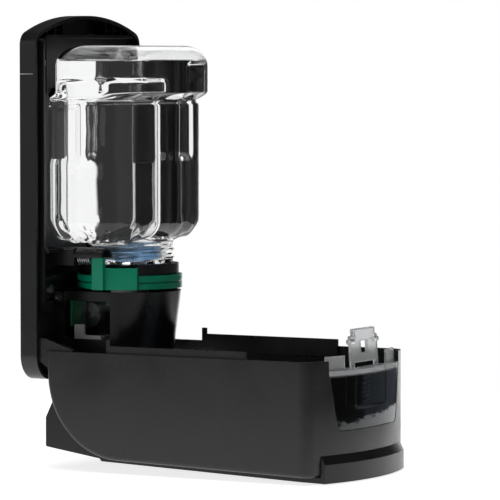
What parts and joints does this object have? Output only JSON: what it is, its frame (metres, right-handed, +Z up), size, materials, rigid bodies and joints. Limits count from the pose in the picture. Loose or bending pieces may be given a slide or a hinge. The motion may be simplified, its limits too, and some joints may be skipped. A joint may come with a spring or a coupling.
{
  "type": "wall mounted soap dispenser",
  "caption": "Touch-free wall soap dispenser with its cover swung down on a bottom hinge, showing the clear refill bottle, release collar, pump module and sight window.",
  "frame": {"origin": "centre of the flat back of the housing, on the wall face", "axes": "+Y into the wall, +Z up, X across the width; the room is at -Y"},
  "size_m": [0.146, 0.2562, 0.3305],
  "materials": {
    "housing_plastic": "satin moulded black plastic",
    "chassis_plastic": "fine matte moulded black plastic",
    "cover_plastic": "semi-gloss moulded black plastic",
    "fascia_plastic": "semi-gloss moulded black plastic",
    "clear_plastic": "clear polished plastic",
    "soap_liquid": "clear liquid",
    "bottle_plastic": "clear blown bottle plastic",
    "green_plastic": "satin green moulded plastic",
    "blue_plastic": "translucent light blue plastic",
    "white_plastic": "natural white acetal",
    "gear_plastic": "ivory acetal",
    "spring_steel": "drawn spring wire",
    "zinc_steel": "zinc plated steel",
    "motor_steel": "plated steel can",
    "board_green": "green circuit board",
    "lens_dark": "dark infrared lens",
    "light_lens": "frosted light lens",
    "seal_rubber": "soft translucent seal",
    "cell_sleeve": "plain dark battery sleeve"
  },
  "bodies": {
    "housing": {"wall_tray": "housing_plastic", "top_cap": "housing_plastic", "chassis": "chassis_plastic", "battery_door": "chassis_plastic", "battery_cells": "cell_sleeve", "battery_contacts": "spring_steel", "chassis_screws": "zinc_steel", "hinge_pins": "zinc_steel", "neck_seat": "chassis_plastic", "spring_guard": "chassis_plastic", "release_spring": "spring_steel", "pump_housing": "housing_plastic", "module_screws": "zinc_steel", "motor": "motor_steel", "gear_axles": "zinc_steel", "gearbox_plate": "gear_plastic", "circuit_board": "board_green", "sensor_board": "board_green", "sensor_lens": "lens_dark", "status_light": "light_lens"},
    "cover": {"cover_shell": "cover_plastic", "front_fascia": "fascia_plastic", "fascia_screws": "zinc_steel", "sight_window": "clear_plastic", "latch_spring": "spring_steel"},
    "latch": {"cover_latch": "clear_plastic"},
    "release": {"release_collar": "green_plastic"},
    "refill": {"refill_bottle": "bottle_plastic", "soap_fill": "soap_liquid", "pump_closure": "blue_plastic", "neck_seal": "seal_rubber", "pump_barrel": "white_plastic", "pump_spring": "spring_steel"},
    "piston": {"pump_piston": "white_plastic"},
    "actuator": {"actuator_yoke": "white_plastic"},
    "output": {"output_gear": "gear_plastic"},
    "idler": {"idler_gear": "gear_plastic"},
    "pinion": {"motor_pinion": "gear_plastic"}
  },
  "joints": [
    {"name": "cover_hinge", "type": "hinge", "parent": "housing", "child": "cover", "pos_m": [0, -0.0115, -0.10825], "axis": [1, 0, 0], "range_deg": [-90, 0]},
    {"name": "latch_slide", "type": "slide", "parent": "cover", "child": "latch", "axis": [0, 0, 1], "range_m": [-0.01, 0], "deforming": ["latch_spring"]},
    {"name": "collar_release", "type": "slide", "parent": "housing", "child": "release", "axis": [0, 1, 0], "range_m": [0, 0.005], "stiffness_N_per_m": 300, "springref_m": -0.002, "deforming": ["release_spring"]},
    {"name": "refill_lift", "type": "slide", "parent": "housing", "child": "refill", "axis": [0, 0, 1], "range_m": [0, 0.008]},
    {"name": "pump_stroke", "type": "slide", "parent": "refill", "child": "piston", "axis": [0, 0, 1], "range_m": [0, 0.0071], "deforming": ["pump_spring"]},
    {"name": "actuator_lift", "type": "slide", "parent": "housing", "child": "actuator", "axis": [0, 0, 1], "range_m": [0, 0.007]},
    {"name": "motor_spin", "type": "hinge", "parent": "housing", "child": "pinion", "pos_m": [0, -0.022, -0.08824], "axis": [-1, 0, 0], "range_deg": [0, 267.6]},
    {"name": "idler_spin", "type": "hinge", "parent": "housing", "child": "idler", "pos_m": [0, -0.022, -0.10264], "axis": [-1, 0, 0], "range_deg": [-134, 0]},
    {"name": "output_spin", "type": "hinge", "parent": "housing", "child": "output", "pos_m": [0, -0.029, -0.08825], "axis": [-1, 0, 0], "range_deg": [0, 57.4]}
  ],
  "couplings": [
    {"joint": "latch_slide", "follows": "cover_hinge", "m_per_rad": 0.0063662},
    {"joint": "idler_spin", "follows": "actuator_lift", "rad_per_m": -333.33},
    {"joint": "output_spin", "follows": "actuator_lift", "rad_per_m": 142.86},
    {"joint": "motor_spin", "follows": "actuator_lift", "rad_per_m": 666.67},
    {"joint": "pump_stroke", "follows": "actuator_lift", "ratio": 1}
  ]
}
